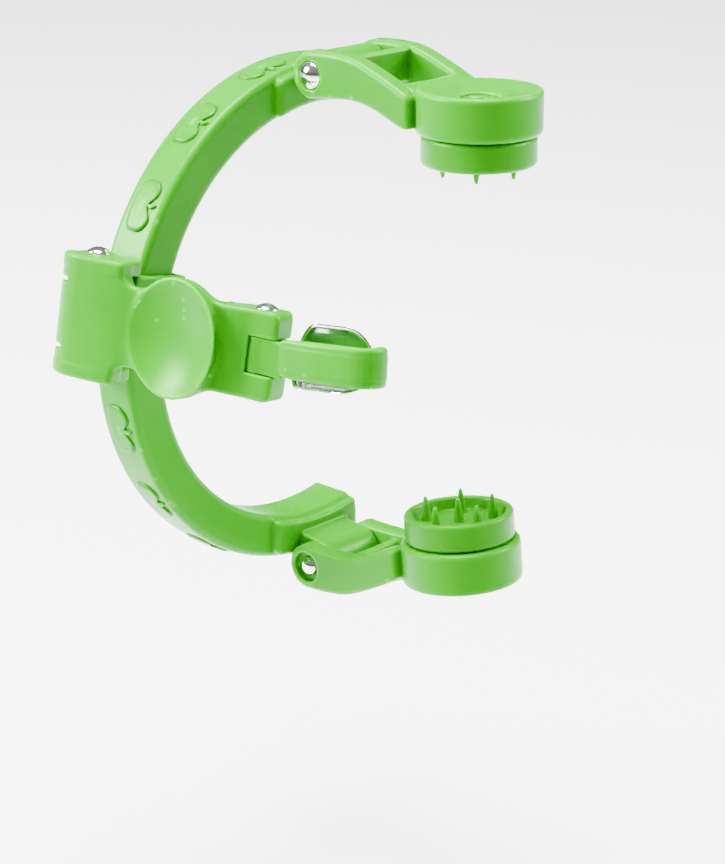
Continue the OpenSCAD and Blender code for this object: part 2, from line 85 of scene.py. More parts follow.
BOW = Matrix.Translation(SHIFT)
UPPER = BOW @ move(0, ARM_LENGTH, HINGE_HEIGHT) @ turn("X", UPPER_FOLD)
LOWER = BOW @ move(0, ARM_LENGTH, -HINGE_HEIGHT) @ turn("Y", 180) @ turn("X", LOWER_FOLD)
HEAD = BOW @ turn("Y", HEAD_ANGLE)
LEVER = HEAD @ move(-HINGE_R, HINGE_Y, 0) @ turn("Z", LEVER_SWING)
HOLDER = LEVER @ move(0, -LEVER_LENGTH, 0) @ turn("Z", HOLDER_SWING)
BAR = HOLDER @ turn("X", -BAR_CRANK)
BLADE = BAR @ move(-ROCK_AXIS, 0, 0) @ turn("Y", BLADE_ROCK)


# ---------------------------------------------------------------- camera
def make_camera():
    az, el, roll = (math.radians(a) for a in (CAMERA_AZIMUTH, CAMERA_ELEVATION, CAMERA_ROLL))
    back = Vector((-math.sin(az) * math.cos(el), -math.cos(az) * math.cos(el), math.sin(el)))
    right = Vector((math.cos(az), -math.sin(az), 0.0))
    up = back.cross(right)
    x_axis = right * math.cos(roll) + up * math.sin(roll)
    y_axis = -right * math.sin(roll) + up * math.cos(roll)
    beside, above = (math.tan(math.radians(a)) for a in (AIM_SIDE, AIM_UP))
    forward = (-back + x_axis * beside + y_axis * above).normalized()
    x_axis = (x_axis - forward * x_axis.dot(forward)).normalized()
    y_axis = x_axis.cross(forward)
    data = bpy.data.cameras.new("camera")
    data.sensor_width = SENSOR
    data.sensor_fit = "AUTO"
    data.lens = LENS
    data.clip_start, data.clip_end = 0.01, 20.0
    camera = bpy.data.objects.new("camera", data)
    place = Matrix.Translation(SHIFT / 1000 + back * CAMERA_DISTANCE)
    camera.matrix_world = place @ Matrix((x_axis, y_axis, -forward)).transposed().to_4x4()
    bpy.context.collection.objects.link(camera)
    bpy.context.scene.camera = camera


# ---------------------------------------------------------------- distance fields, in millimetres
# A field takes coordinate arrays and gives the distance to a surface, negative inside it.
def blend_in(a, b, k):
    """The two shapes joined, with a fillet of about k."""
    h = np.clip(0.5 + 0.5 * (b - a) / k, 0, 1)
    return b * (1 - h) + a * h - k * h * (1 - h)


def cut(a, b, k=0.2):
    """Shape a without shape b, the edge softened by about k."""
    return -blend_in(-a, b, k)


def both(a, b, r):
    """Where the two shapes meet, the outside edge rounded to radius r."""
    a, b = a + r, b + r
    return np.minimum(np.maximum(a, b), 0) + np.hypot(np.maximum(a, 0), np.maximum(b, 0)) - r


def box2(u, v, half_u, half_v, r=0.0):
    return both(np.abs(u) - half_u, np.abs(v) - half_v, r)


def box3(x, y, z, half, r):
    return both(box2(x, y, half[0], half[1], r), np.abs(z) - half[2], r)


def disc(u, v, r):
    return np.sqrt(u * u + v * v) - r


def rod(u, v, w, r, low, high, edge=0.2):
    """A round bar along w from low to high."""
    return both(disc(u, v, r), np.abs(w - (low + high) / 2) - (high - low) / 2, edge)


def ball(u, v, w, r):
    return np.sqrt(u * u + v * v + w * w) - r


def rounded(points, reach=0.6, count=4):
    """A closed outline with each corner cut back by reach, or by the corner's own third value."""
    points = [tuple(p) for p in points]
    out = []
    for i, point in enumerate(points):
        p = np.array(point[:2], float)
        cut_back = point[2] if len(point) > 2 else reach
        a, b = (np.array(points[j][:2], float) for j in (i - 1, (i + 1) % len(points)))
        la, lb = np.linalg.norm(a - p), np.linalg.norm(b - p)
        t = min(cut_back, la * 0.48, lb * 0.48)
        if t < 1e-3:
            out.append(p)
            continue
        start, end = p + (a - p) / la * t, p + (b - p) / lb * t
        for s in np.linspace(0, 1, count):
            out.append(start * (1 - s) ** 2 + p * 2 * s * (1 - s) + end * s * s)
    return np.array(out)


def arc(r, start, end, count=12):
    return [(r * math.cos(a), r * math.sin(a), 0) for a in np.radians(np.linspace(start, end, count))]


def outline(points, u, v):
    """Signed distance to a closed outline."""
    best, sign = None, None
    for p, q in zip(points, np.roll(points, 1, axis=0)):
        ex, ey = q - p
        wx, wy = u - p[0], v - p[1]
        t = np.clip((wx * ex + wy * ey) / (ex * ex + ey * ey + 1e-12), 0, 1)
        d = (wx - ex * t) ** 2 + (wy - ey * t) ** 2
        above, below, left = wy >= 0, v < q[1], ex * wy > ey * wx
        flip = (above & below & left) | (~above & ~below & ~left)
        best = d if best is None else np.minimum(best, d)
        sign = np.where(flip, -1.0, 1.0) * (1.0 if sign is None else sign)
    return sign * np.sqrt(best)


def net(field, low, high, step, passes=2):
    """The surface of a field as vertices and quads, by surface nets with the points pulled on to it."""
    axes = [np.arange(a - 1.5 * step, b + 2.5 * step, step) for a, b in zip(low, high)]
    size = [len(a) for a in axes]
    f = np.broadcast_to(field(*np.meshgrid(*axes, indexing="ij", sparse=True)), size).astype(float)
    cells = [n - 1 for n in size]
    total, count = np.zeros(cells + [3]), np.zeros(cells)
    crossings = []
    for axis in range(3):
        one, two = (axis + 1) % 3, (axis + 2) % 3
        a, b = np.delete(f, -1, axis), np.delete(f, 0, axis)
        crossing = (a < 0) != (b < 0)
        t = np.where(crossing, a / np.where(crossing, a - b, 1), 0)
        crossings.append((crossing, a < 0))
        for j in (0, 1):
            for k in (0, 1):
                part = [slice(None)] * 3
                part[one] = slice(j, j + cells[one])
                part[two] = slice(k, k + cells[two])
                part = tuple(part)
                total[..., axis] += t[part]
                total[..., one] += crossing[part] * j
                total[..., two] += crossing[part] * k
                count += crossing[part]
    live = count > 0
    number = np.full(cells, -1)
    number[live] = np.arange(live.sum())
    at = np.argwhere(live)
    points = (at + total[live] / count[live][:, None]) * step + [a[0] for a in axes]
    quads = []
    for axis, (crossing, inside) in enumerate(crossings):
        one, two = (axis + 1) % 3, (axis + 2) % 3
        where = np.argwhere(crossing)
        keep = (where[:, one] > 0) & (where[:, two] > 0)
        keep &= (where[:, one] < cells[one]) & (where[:, two] < cells[two])
        where = where[keep]
        ring = []
        for j, k in ((-1, -1), (0, -1), (0, 0), (-1, 0)):
            cell = where.copy()
            cell[:, one] += j
            cell[:, two] += k
            ring.append(number[tuple(cell.T)])
        ring = np.stack(ring, 1)
        outward = inside[tuple(where.T)]
        quads.append(np.where(outward[:, None], ring, ring[:, ::-1]))
    tiny = 0.02
    for _ in range(passes):
        value = field(*points.T)
        slopes = [field(*(points + tiny * e).T) - field(*(points - tiny * e).T) for e in np.eye(3)]
        slope = np.stack(slopes, 1) / (2 * tiny)
        push = value / np.maximum((slope ** 2).sum(1), 0.2)
        points = points - slope * np.clip(push, -step * 0.5, step * 0.5)[:, None]
    return points, np.concatenate(quads)


# ---------------------------------------------------------------- mesh helpers
class Shell:
    """Vertices and faces gathered in millimetres."""

    def __init__(self):
        self.points, self.faces = [], []

    def add(self, points, faces):
        start = len(self.points)
        self.points += [tuple(map(float, p)) for p in points]
        self.faces += [tuple(int(i) + start for i in face) for face in faces]
        return self

    def lathe(self, profile, place=Matrix.Identity(4), count=48):
        """Turns (radius, height) points about Z. An end of the profile on the axis is closed there."""
        points, faces, rings = [], [], []
        for r, h in profile:
            if r < 1e-6:
                rings.append([len(points)])
                points.append(place @ Vector((0, 0, h)))
            else:
                rings.append(list(range(len(points), len(points) + count)))
                for i in range(count):
                    a = 2 * math.pi * i / count
                    points.append(place @ Vector((r * math.cos(a), r * math.sin(a), h)))
        for low, high in zip(rings, rings[1:]):
            for i in range(count):
                j = (i + 1) % count
                if len(low) == 1:
                    faces.append((low[0], high[j], high[i]))
                elif len(high) == 1:
                    faces.append((low[i], low[j], high[0]))
                else:
                    faces.append((low[i], low[j], high[j], high[i]))
        return self.add(points, faces)

    def field(self, field, low, high, step):
        return self.add(*net(field, low, high, step))


def make_piece(name, shell, place, body, slot, material, *nodes):
    mesh = bpy.data.meshes.new(name)
    mesh.from_pydata([(place @ Vector(p)) / 1000 for p in shell.points], [], shell.faces)
    mesh.update()
    mesh.polygons.foreach_set("use_smooth", [True] * len(mesh.polygons))
    mesh.materials.append(material)
    piece = bpy.data.objects.new(name, mesh)
    bpy.context.collection.objects.link(piece)
    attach(piece, body)
    if nodes:
        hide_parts(*nodes)


# ---------------------------------------------------------------- materials
def new_material(name):
    material = bpy.data.materials.new(name)
    material.use_nodes = True
    tree = material.node_tree
    return material, tree, tree.nodes["Principled BSDF"]


def link(tree, a, out, b, into):
    tree.links.new(a.outputs[out], b.inputs[into])


def noise(tree, place, scale, detail=3.0, rough=0.5):
    node = tree.nodes.new("ShaderNodeTexNoise")
    node.inputs["Scale"].default_value = scale
    node.inputs["Detail"].default_value = detail
    node.inputs["Roughness"].default_value = rough
    link(tree, place, "Object", node, "Vector")
    return node


def ramp(tree, stops):
    node = tree.nodes.new("ShaderNodeValToRGB")
    while len(node.color_ramp.elements) < len(stops):
        node.color_ramp.elements.new(0.5)
    for element, (place, color) in zip(node.color_ramp.elements, stops):
        element.position = place
        element.color = tuple(color) + (1,)
    return node


def bump(tree, shader, *layers):
    """Each layer is (node, output, strength, distance in metres)."""
    last = None
    for node, out, strength, distance in layers:
        bumper = tree.nodes.new("ShaderNodeBump")
        bumper.inputs["Strength"].default_value = strength
        bumper.inputs["Distance"].default_value = distance
        link(tree, node, out, bumper, "Height")
        if last:
            link(tree, last, "Normal", bumper, "Normal")
        last = bumper
    link(tree, last, "Normal", shader, "Normal")


def plastic(name, body_color, painted_edge_light_color, painted_hollow_shade_color):
    """Glossy moulded plastic, a little clear, with painted light on its edges and painted shade in its
    hollows.
    """
    material, tree, shader = new_material(name)
    place = tree.nodes.new("ShaderNodeTexCoord")
    cloud = noise(tree, place, 60.0, 2.0)
    tint = ramp(tree, [(0.3, [c * 0.94 for c in body_color]), (0.7, [c * 1.05 for c in body_color])])
    link(tree, cloud, "Fac", tint, "Fac")
    geometry = tree.nodes.new("ShaderNodeNewGeometry")
    # Pointiness below about 0.45 marks hollows, which get a darker colour as painted shade.
    painted_shade_mask = ramp(tree, [(0.4, (1, 1, 1)), (0.5, (0, 0, 0))])
    # Pointiness above about 0.5 marks proud edges, which get a paler colour as painted light.
    painted_edge_light_mask = ramp(tree, [(0.505, (0, 0, 0)), (0.6, (1, 1, 1))])
    link(tree, geometry, "Pointiness", painted_shade_mask, "Fac")
    link(tree, geometry, "Pointiness", painted_edge_light_mask, "Fac")
    first = tree.nodes.new("ShaderNodeMix")
    first.data_type = "RGBA"
    first.inputs[7].default_value = tuple(painted_hollow_shade_color) + (1,)
    tree.links.new(painted_shade_mask.outputs["Color"], first.inputs[0])
    tree.links.new(tint.outputs["Color"], first.inputs[6])
    second = tree.nodes.new("ShaderNodeMix")
    second.data_type = "RGBA"
    second.inputs[7].default_value = tuple(painted_edge_light_color) + (1,)
    tree.links.new(painted_edge_light_mask.outputs["Color"], second.inputs[0])
    tree.links.new(first.outputs[2], second.inputs[6])
    tree.links.new(second.outputs[2], shader.inputs["Base Color"])
    smear = noise(tree, place, 180.0, 4.0, 0.6)
    gloss = ramp(tree, [(0.3, (0.27, 0.27, 0.27)), (0.75, (0.4, 0.4, 0.4))])
    link(tree, smear, "Fac", gloss, "Fac")
    link(tree, gloss, "Color", shader, "Roughness")
    shader.inputs["IOR"].default_value = 1.45
    shader.inputs["Subsurface Weight"].default_value = 0.35
    shader.inputs["Subsurface Radius"].default_value = (0.6, 1.0, 0.3)
    shader.inputs["Subsurface Scale"].default_value = 0.0025
    shader.inputs["Specular IOR Level"].default_value = 0.22
    shader.inputs["Specular Tint"].default_value = (0.2, 1.0, 0.05, 1)
    grain = noise(tree, place, 2600.0, 2.0)
    flow = noise(tree, place, 130.0, 1.0)
    bump(tree, shader, (flow, "Fac", 0.25, 0.00008), (grain, "Fac", 0.12, 0.00001))
    return material


def metal(name, color, rough, stretch, grain_strength):
    """Polished steel with fine rubbing marks."""
    material, tree, shader = new_material(name)
    place = tree.nodes.new("ShaderNodeTexCoord")
    mapping = tree.nodes.new("ShaderNodeMapping")
    mapping.inputs["Scale"].default_value = stretch
    link(tree, place, "Object", mapping, "Vector")
    lines = tree.nodes.new("ShaderNodeTexNoise")
    lines.inputs["Scale"].default_value = 1.0
    lines.inputs["Detail"].default_value = 4.0
    link(tree, mapping, "Vector", lines, "Vector")
    cloud = noise(tree, place, 240.0, 3.0)
    tint = ramp(tree, [(0.3, [c * 0.9 for c in color]), (0.7, color)])
    link(tree, cloud, "Fac", tint, "Fac")
    link(tree, tint, "Color", shader, "Base Color")
    gloss = ramp(tree, [(0.25, (rough * 0.6,) * 3), (0.8, (rough * 1.5,) * 3)])
    link(tree, lines, "Fac", gloss, "Fac")
    link(tree, gloss, "Color", shader, "Roughness")
    shader.inputs["Metallic"].default_value = 1.0
    bump(tree, shader, (lines, "Fac", grain_strength, 0.00001))
    return material


# ---------------------------------------------------------------- bow
WEB = rounded([(-0.2, 3.9), (-0.2, -3.9), (4.5, -4.3), (10, -5.6), (10, -0.6), (6.8, 0.8), (3.4, 3.0)], 1.2)


def bow_field(x, y, z):
    r = np.sqrt(x * x + z * z)
    height = np.abs(z)
    mid_r, mid_y = (BOW_OUT + BOW_IN) / 2, (BOW_NEAR + BOW_FAR) / 2
    band = box2(r - mid_r, y - mid_y, (BOW_OUT - BOW_IN) / 2, (BOW_FAR - BOW_NEAR) / 2, 1.2)
    end = math.radians(90 + BOW_END)
    past = x * math.sin(end) + height * math.cos(end)
    d = both(band, past, 0.7)
    # The thicker block beside each arm hinge.
    block = both(box2(r - 43.5, y - 37.2, 3.3, 1.9, 0.9), np.abs(x + 1.1) - 11.3, 1.4)
    d = blend_in(d, both(block, past, 0.6), 0.5)
    # The hinge barrel and its web.
    u, v = y - ARM_LENGTH, height - HINGE_HEIGHT
    barrel = blend_in(disc(u, v, 3.9), outline(WEB, u, v), 0.3)
    d = blend_in(d, both(barrel, np.abs(x) - 6.15, 0.35), 0.9)
    return cut(d, disc(u, v, 1.56), 0.1)


def patch(shell, place_angle, edge, centre_u, height, rim, rings=9):
    """A thin raised patch on the bow's outer face. u runs towards the near edge, v up the bow."""
    mid = (BOW_NEAR + BOW_FAR) / 2
    points, faces = [], []
    size = max(math.hypot(u, v) for u, v in edge)
    for ring in range(rings + 1):
        # Ring 0 is the foot of the edge, sunk into the bow. The rest close in on the middle.
        share = 1 - max(0, ring - 1) / (rings - 1)
        near = (1 - share) * size / rim
        lift = -0.15 if ring == 0 else height * math.sin(min(1.0, 0.35 + near) * math.pi / 2)
        for u, v in edge:
            angle = math.radians(place_angle) + v * share / BOW_OUT
            r = BOW_OUT + lift
            points.append((-math.cos(angle) * r, mid - centre_u - u * share, math.sin(angle) * r))
    count = len(edge)
    for ring in range(rings):
        for i in range(count):
            j = (i + 1) % count
            low, high = ring * count, (ring + 1) * count
            faces.append((low + i, high + i, high + j, low + j))
    return shell.add(points, faces)


def relief(place_angle):
    """A plain fruit outline: flat on the far side, two lobes and a short stalk on the near side."""
    edge = []
    for i in range(88):
        a = 2 * math.pi * i / 88
        c, s = math.cos(a), math.sin(a)
        if c > 0:
            u = 3.05 * c ** 0.75 - 1.7 * math.exp(-((math.asin(s) / 0.3) ** 2))
        else:
            u = -2.5 * (-c) ** 0.45
        edge.append((u, 4.9 * math.copysign(abs(s) ** 0.85, s)))
    shell = patch(Shell(), place_angle, edge, -0.1, 0.42, 0.9)
    stalk = []
    for i in range(28):
        a = 2 * math.pi * i / 28
        u, v = 1.05 * math.cos(a), 0.38 * math.sin(a)
        stalk.append((u, v + 0.35 * (u / 1.05) ** 2))
    return patch(shell, place_angle, stalk, 2.0, 0.5, 0.4, 5)


# ---------------------------------------------------------------- clamp arms
WALL = rounded([
    (0.0, 4.3, 0), *arc(4.3, 100, 260, 14), (3.2, -3.75, 1.5), (10, -3.3, 4), (14.7, -4.3, 3),
    (18.5, -5.9, 3), (21.2, -6.95, 1.0), (22.75, -6.9, 1.3), (22.75, -1.2, 0.9), (18.5, 0.8, 3), (15, 2.2, 3),
    (11.5, 3.55, 3), (8.4, 4.3, 2), (4, 4.5, 2)], 0.6)
BRIDGE = rounded([(19.3, 0.5), (23.6, -1.1), (23.6, -7.3), (19.3, -5.7)], 0.6)


def arm_field(x, y, z):
    s, side = -y, np.abs(x)
    d = both(outline(WALL, s, z), np.abs(side - 8.25) - 1.95, 0.95)
    d = blend_in(d, box3(s - 8.0, z - 0.9, x, (0.95, 3.0, 7.2), 0.45), 0.5)
    d = blend_in(d, both(outline(BRIDGE, s, z), side - 7.4, 0.3), 0.5)
    u = s - ARM_LENGTH
    top = HUB_H - HUB_DROP
    d = blend_in(d, rod(u, x, z, HUB_R, -HUB_DROP, top, 0.9), 0.35)
    dish_r, dish_depth = 9.5, 1.7
    sphere = (dish_r ** 2 + dish_depth ** 2) / (2 * dish_depth)
    d = cut(d, ball(u, x, z - (top + sphere - dish_depth), sphere), 0.9)
    d = cut(d, rod(u, x, z, 3.4, top - dish_depth - 0.95, top + 3, 0.1), 0.2)
    d = cut(d, disc(u, x, 2.65), 0.15)
    d = cut(d, rod(u, x, z, 5.95, -HUB_DROP - 3, -HUB_DROP + 3.0, 0.1), 0.1)
    d = cut(d, disc(s, z, 1.52), 0.1)
    d = cut(d, rod(s, z, x, 2.55, -12.0, -9.6, 0.1), 0.25)
    return cut(d, rod(s, z, x, 2.9, 9.0, 12.0, 0.1), 0.25)


def cup_field(x, y, z):
    d = rod(x, y, z, 10.05, -5.3, -0.2, 0.7)
    d = cut(d, np.maximum(disc(x, y, 8.8) + 0.35 * (z + 5.3), z + 3.1), 0.5)
    d = blend_in(d, rod(x, y, z, 5.9, -1.0, 2.8, 0.3), 0.2)
    d = blend_in(d, rod(x, y, z, 2.6, -1.0, 5.9, 0.15), 0.2)
    snap = both(disc(x, y, 3.15) + 0.5 * np.maximum(z - 5.5, 0), np.abs(z - 5.65) - 0.4, 0.2)
    d = blend_in(d, snap, 0.1)
    slot_x = both(np.abs(x) - 0.42, 3.6 - z, 0.1)
    slot_y = both(np.abs(y) - 0.42, 3.6 - z, 0.1)
    return cut(cut(d, slot_x, 0.25), slot_y, 0.25)


def prong_profile(length):
    steps = ((1.1, 0.0), (0.93, 0.2), (0.62, 0.6), (0.36, 0.92), (0.22, 0.99), (0, 1.0))
    return [(0, -0.6), (1.25, -0.6)] + [(r, share * length) for r, share in steps]


def dome(r, rise, skirt):
    """A rivet head: a skirt of height skirt, then a dome."""
    sphere = (r * r + rise * rise) / (2 * rise)
    top = math.asin(min(1.0, r / sphere))
    profile = [(0, 0), (r - 0.06, 0), (r, 0.06), (r, skirt)]
    for i in range(1, 11):
        a = top * (1 - i / 10)
        profile.append((sphere * math.sin(a), skirt + rise - sphere + sphere * math.cos(a)))
    profile[-1] = (0, skirt + rise)
    return profile


# ---------------------------------------------------------------- slider
def slider_field(x, y, z):
    r = np.sqrt(x * x + z * z)
    slab = np.abs(z) - HEAD_HALF
    shell = both(box2(r - 43.74, y - 41.5, 5.86, 6.07, 0.5), slab, 0.4)
    u, v = x + HINGE_R, y - HINGE_Y
    knuckle = blend_in(disc(u, v, 3.4), box2(u - 1.45, v, 1.45, 3.4, 0.2), 0.2)
    d = blend_in(shell, both(knuckle, slab, 0.3), 0.6)
    bore = box2(r - 43.55, y - 41.5, 4.12, 4.67, 1.27)
    bore = np.minimum(bore, box2(r - 38.8, y - 41.5, 2.6, 4.67, 0.05))
    d = cut(d, np.minimum(bore, box2(r - 47.0, y - 41.5, 1.4, 3.6, 0.1)), 0.15)
    d = cut(d, disc(u, v, 1.56), 0.1)
    tab = box3(x + 38.85, y - 41.5, z, (0.45, 10, 3.03), 0.05)
    return cut(d, tab, 0.1)


def keeper_field(x, y, z):
    r = np.sqrt(x * x + z * z)
    d = both(box2(r - 38.63, y - 41.5, 0.8, 4.64, 0.15), np.abs(z) - HEAD_HALF, 0.25)
    tab = box3(x + 38.85, y - 41.5, z, (0.4, 6.07, 3.0), 0.12)
    return np.minimum(d, tab)


# ---------------------------------------------------------------- peeling lever
PAD_AT, PAD_FACE, PAD_TILT, PAD_LONG, PAD_WIDE = 20.1, 5.8, 8.9, 9.25, 10.2
LEVER_SIDE = rounded([
    *arc(5.8, 142, 90), (3, 5.75), (6, 5.5), (8.2, 5.1), (10.8, 4.35), (15, 4.2), (27, 4.6), (31.0, 3.9),
    (33.4, 3.15), (37.6, 3.0, 0.5), (38.6, 2.6, 0.7), (38.6, -2.2, 1.0), (37.6, -3.0, 1.0), (31.2, -3.0, 1.2),
    (28.7, -1.6, 1.5), (26.4, 0.4, 1.5), (11, 0.9, 2), (8.2, 1.5), (4.3, 2.1, 0.3), *arc(3.7, 32, 142)], 1.0)
EAR_SIDE = rounded([
    *arc(5.8, 142, 90), (3, 5.75), (6, 5.5), (8.2, 5.1), (8.2, -1.6, 1.0), (2.8, -1.6, 0.3),
    *arc(3.4, -30, -180), (-3.4, 1.6, 0.2)], 0.7)


def lever_plan(s, side):
    """The lever from above: ears, neck, pad and fork. side is the distance from its middle."""
    ears = both(s - 8.2, side - 10.6, 0.6)
    neck = both(np.abs(s - 15) - 9, side - 6.9, 0.5)
    pad = (np.sqrt(((s - PAD_AT) / PAD_LONG) ** 2 + (side / PAD_WIDE) ** 2) - 1) * PAD_LONG
    fork = both(np.abs(s - 30.1) - 8.5, side - 7.5 - 0.02 * (s - 33), 1.8)
    d = blend_in(ears, neck, 3.0)
    return blend_in(blend_in(d, pad, 1.6), fork, 1.6)


def lever_field(x, y, z):
    s, v = -y, -x
    side = np.abs(z)
    # The neck and the pad narrow towards the slider, so no side wall shows beside their faces.
    waist = np.clip((s - 8.3) / 1.2, 0, 1) * np.clip((27.5 - s) / 2.5, 0, 1)
    plan = lever_plan(s, side + 0.5 * waist * np.clip(3.6 - v, 0, 6))
    d = both(outline(LEVER_SIDE, s, v), plan, 0.7)
    d = both(d, side - 10.6, 0.8)
    ear = both(outline(EAR_SIDE, s, v), np.abs(side - 9.225) - 1.375, 0.7)
    d = blend_in(d, ear, 0.4)
    # The thumb pad, tilted outwards, with an oval dish.
    tilt = math.radians(PAD_TILT)
    a = (s - PAD_AT) * math.cos(tilt) + (v - PAD_FACE) * math.sin(tilt)
    b = -(s - PAD_AT) * math.sin(tilt) + (v - PAD_FACE) * math.cos(tilt)
    oval = (np.sqrt((a / PAD_LONG) ** 2 + (z / PAD_WIDE) ** 2) - 1) * PAD_LONG
    pad = both(oval + 0.5 * np.maximum(-b - 0.4, 0), np.abs(b + 1.9) - 1.9, 0.4)
    d = blend_in(d, pad, 1.5)
    depth, rim = 2.5, 0.12
    ra, rz = PAD_LONG - rim, PAD_WIDE - rim
    bowl = (ra * ra + depth * depth) / (2 * depth)
    flat = ball(a, z * ra / rz, b - (bowl - depth), bowl)
    d = cut(d, flat, 0.4)
    # The fork's slot, and the slits beside the ears.
    slot = np.minimum(33.3 - s, disc(s - LEVER_LENGTH, v, 3.0))
    d = cut(d, both(slot, side - 3.13, 0.1), 0.25)
    slit = box3(side - 5.85, s + 5.3, v - 3.6, (0.42, 3.0, 3.0), 0.35)
    d = cut(d, slit, 0.25)
    d = cut(d, both(disc(s, v, 1.52), 7.0 - side, 0.05), 0.1)
    return cut(d, disc(s - LEVER_LENGTH, v, 1.22), 0.1)


# ---------------------------------------------------------------- blade holder
ARCH = rounded([
    (4.4, -1.6, 0.3), (6.0, -1.3, 0.3), (6.0, 2.2, 0.5), (21.2, 2.2, 0.8), (21.2, -0.9, 0.3),
    (21.7, -1.5, 0.4), (22.5, -1.5, 0.6), (23.4, -0.6, 0.7), (23.4, 1.4, 1.5), (22.5, 3.5, 2.0),
    (20.0, 4.72, 2.5), (16.0, 4.8, 3), (12, 4.4, 3), (8.6, 3.8, 2), (6.2, 3.35, 0.8), (5.0, 2.9, 0.3),
    (4.4, 2.2, 0.3)], 0.4)


def holder_field(x, y, z):
    s, v = -y, -x
    knuckle = both(disc(s, v, 2.8), np.abs(z) - 3.05, 0.25)
    neck = both(box2(s - 2.8, v - 0.6, 2.9, 2.1, 0.5), np.abs(z) - 3.0, 0.3)
    # The bar, its foot and the blade's bores follow the cranked line.
    crank = math.radians(BAR_CRANK)
    s, w = -(y * math.cos(crank) - z * math.sin(crank)), y * math.sin(crank) + z * math.cos(crank)
    side = np.abs(w)
    inner = np.clip((s - 4.6) / 0.4, 0, 1) * np.clip((21.0 - s) / 0.4, 0, 1)
    bar_half = 3.3 - 1.3 * np.clip((3.2 - v) / 1.6, 0, 1) * inner
    bar = both(outline(ARCH, s, v), (side - bar_half) * 0.85, 0.6)
    bar = both(bar, 5.15 - s, 0.35)
    foot = both(outline(ARCH, s, v), side - 2.0, 0.3)
    d = blend_in(blend_in(blend_in(knuckle, neck, 0.2), foot, 0.2), bar, 0.35)
    d = cut(d, disc(-y, v, 1.26), 0.1)
    bore = disc(v - ROCK_AXIS, w, 0.76)
    bore = np.minimum(both(bore, np.abs(s - 5.4) - 0.9, 0.05), both(bore, np.abs(s - 21.4) - 1.2, 0.05))
    return cut(d, bore, 0.05)


# ---------------------------------------------------------------- blade
def blade_shell():
    start, end, half, corner, radius, centre, thick = 6.25, 20.95, 5.6, 4.6, 6.2, 4.4, 0.5
    slot_half, slot_end, count, rings = 0.9, 2.6, 128, 14
    mid, long = (start + end) / 2, (end - start) / 2

    def edge(angle, half_u, half_v, r):
        """Where a ray from the middle meets a rounded rectangle."""
        c, s = math.cos(angle), math.sin(angle)
        low, high = 0.0, 40.0
        for _ in range(40):
            t = (low + high) / 2
            qu, qv = abs(t * c) - half_u + r, abs(t * s) - half_v + r
            d = min(max(qu, qv), 0) + math.hypot(max(qu, 0), max(qv, 0)) - r
            low, high = (t, high) if d < 0 else (low, t)
        return low * c, low * s

    shell = Shell()
    points, faces = [], []
    for layer in (0, 1):
        for ring in range(rings + 1):
            share = ring / rings
            for i in range(count):
                a = 2 * math.pi * i / count
                iu, iv = edge(a, long - slot_end, slot_half, slot_half - 0.01)
                ou, ov = edge(a, long, half, corner)
                u, v = iu + (ou - iu) * share, iv + (ov - iv) * share
                near = min(math.hypot(ou - u, ov - v), 0.25) / 0.25
                near = min(near, 0.5 + 2 * min(math.hypot(u - iu, v - iv), 0.25))
                wall = thick * (0.3 + 0.7 * math.sqrt(near))
                middle = radius - thick / 2
                r = middle + wall / 2 * (1 if layer == 0 else -1)
                phi = math.asin(max(-1, min(1, v / middle)))
                points.append((-(centre - r * math.cos(phi)), -(mid + u), r * math.sin(phi)))
    per = (rings + 1) * count

    def at(layer, ring, i):
        return layer * per + ring * count + i % count

    for ring in range(rings):
        for i in range(count):
            j, out = i + 1, ring + 1
            faces.append((at(0, ring, i), at(0, out, i), at(0, out, j), at(0, ring, j)))
            faces.append((at(1, ring, i), at(1, ring, j), at(1, out, j), at(1, out, i)))
    for i in range(count):
        faces.append((at(0, rings, i), at(1, rings, i), at(1, rings, i + 1), at(0, rings, i + 1)))
        faces.append((at(0, 0, i), at(0, 0, i + 1), at(1, 0, i + 1), at(1, 0, i)))
    shell.add(points, faces)

    def tab(x, y, z):
        """The folded tabs and the stubs that the blade rocks on."""
        t = -y
        d = None
        for at_u in (start + 0.3, end - 0.3):
            flat = blend_in(disc(x, z, 1.0), box2(x - 0.8, z, 0.9, 1.0, 0.1), 0.1)
            part = both(flat, np.abs(t - at_u) - 0.28, 0.08)
            d = part if d is None else np.minimum(d, part)
        for low, high in ((start - 1.25, start + 0.3), (end - 0.3, end + 1.25)):
            d = np.minimum(d, rod(x, z, t, 0.7, low, high, 0.1))
        return d
    return shell.field(tab, (-1.2, -end - 1.4, -1.2), (1.9, -start + 1.4, 1.2), 0.16)


# ---------------------------------------------------------------- the pieces
# Each plastic takes a body colour, a paler colour painted on its edges as painted light, and a darker colour
# painted in its hollows as painted shade.
GREEN = plastic("green_plastic", (0.010, 0.15, 0.0), (0.022, 0.27, 0.002), (0.003, 0.09, 0.0))
CUP_GREEN = plastic("cup_plastic", (0.010, 0.135, 0.0), (0.020, 0.24, 0.002), (0.003, 0.085, 0.0))
STEEL = metal("rivet_steel", (0.86, 0.86, 0.88), 0.1, (900, 900, 900), 0.05)
BLADE_STEEL = metal("blade_steel", (0.82, 0.83, 0.85), 0.13, (300, 300, 4000), 0.12)


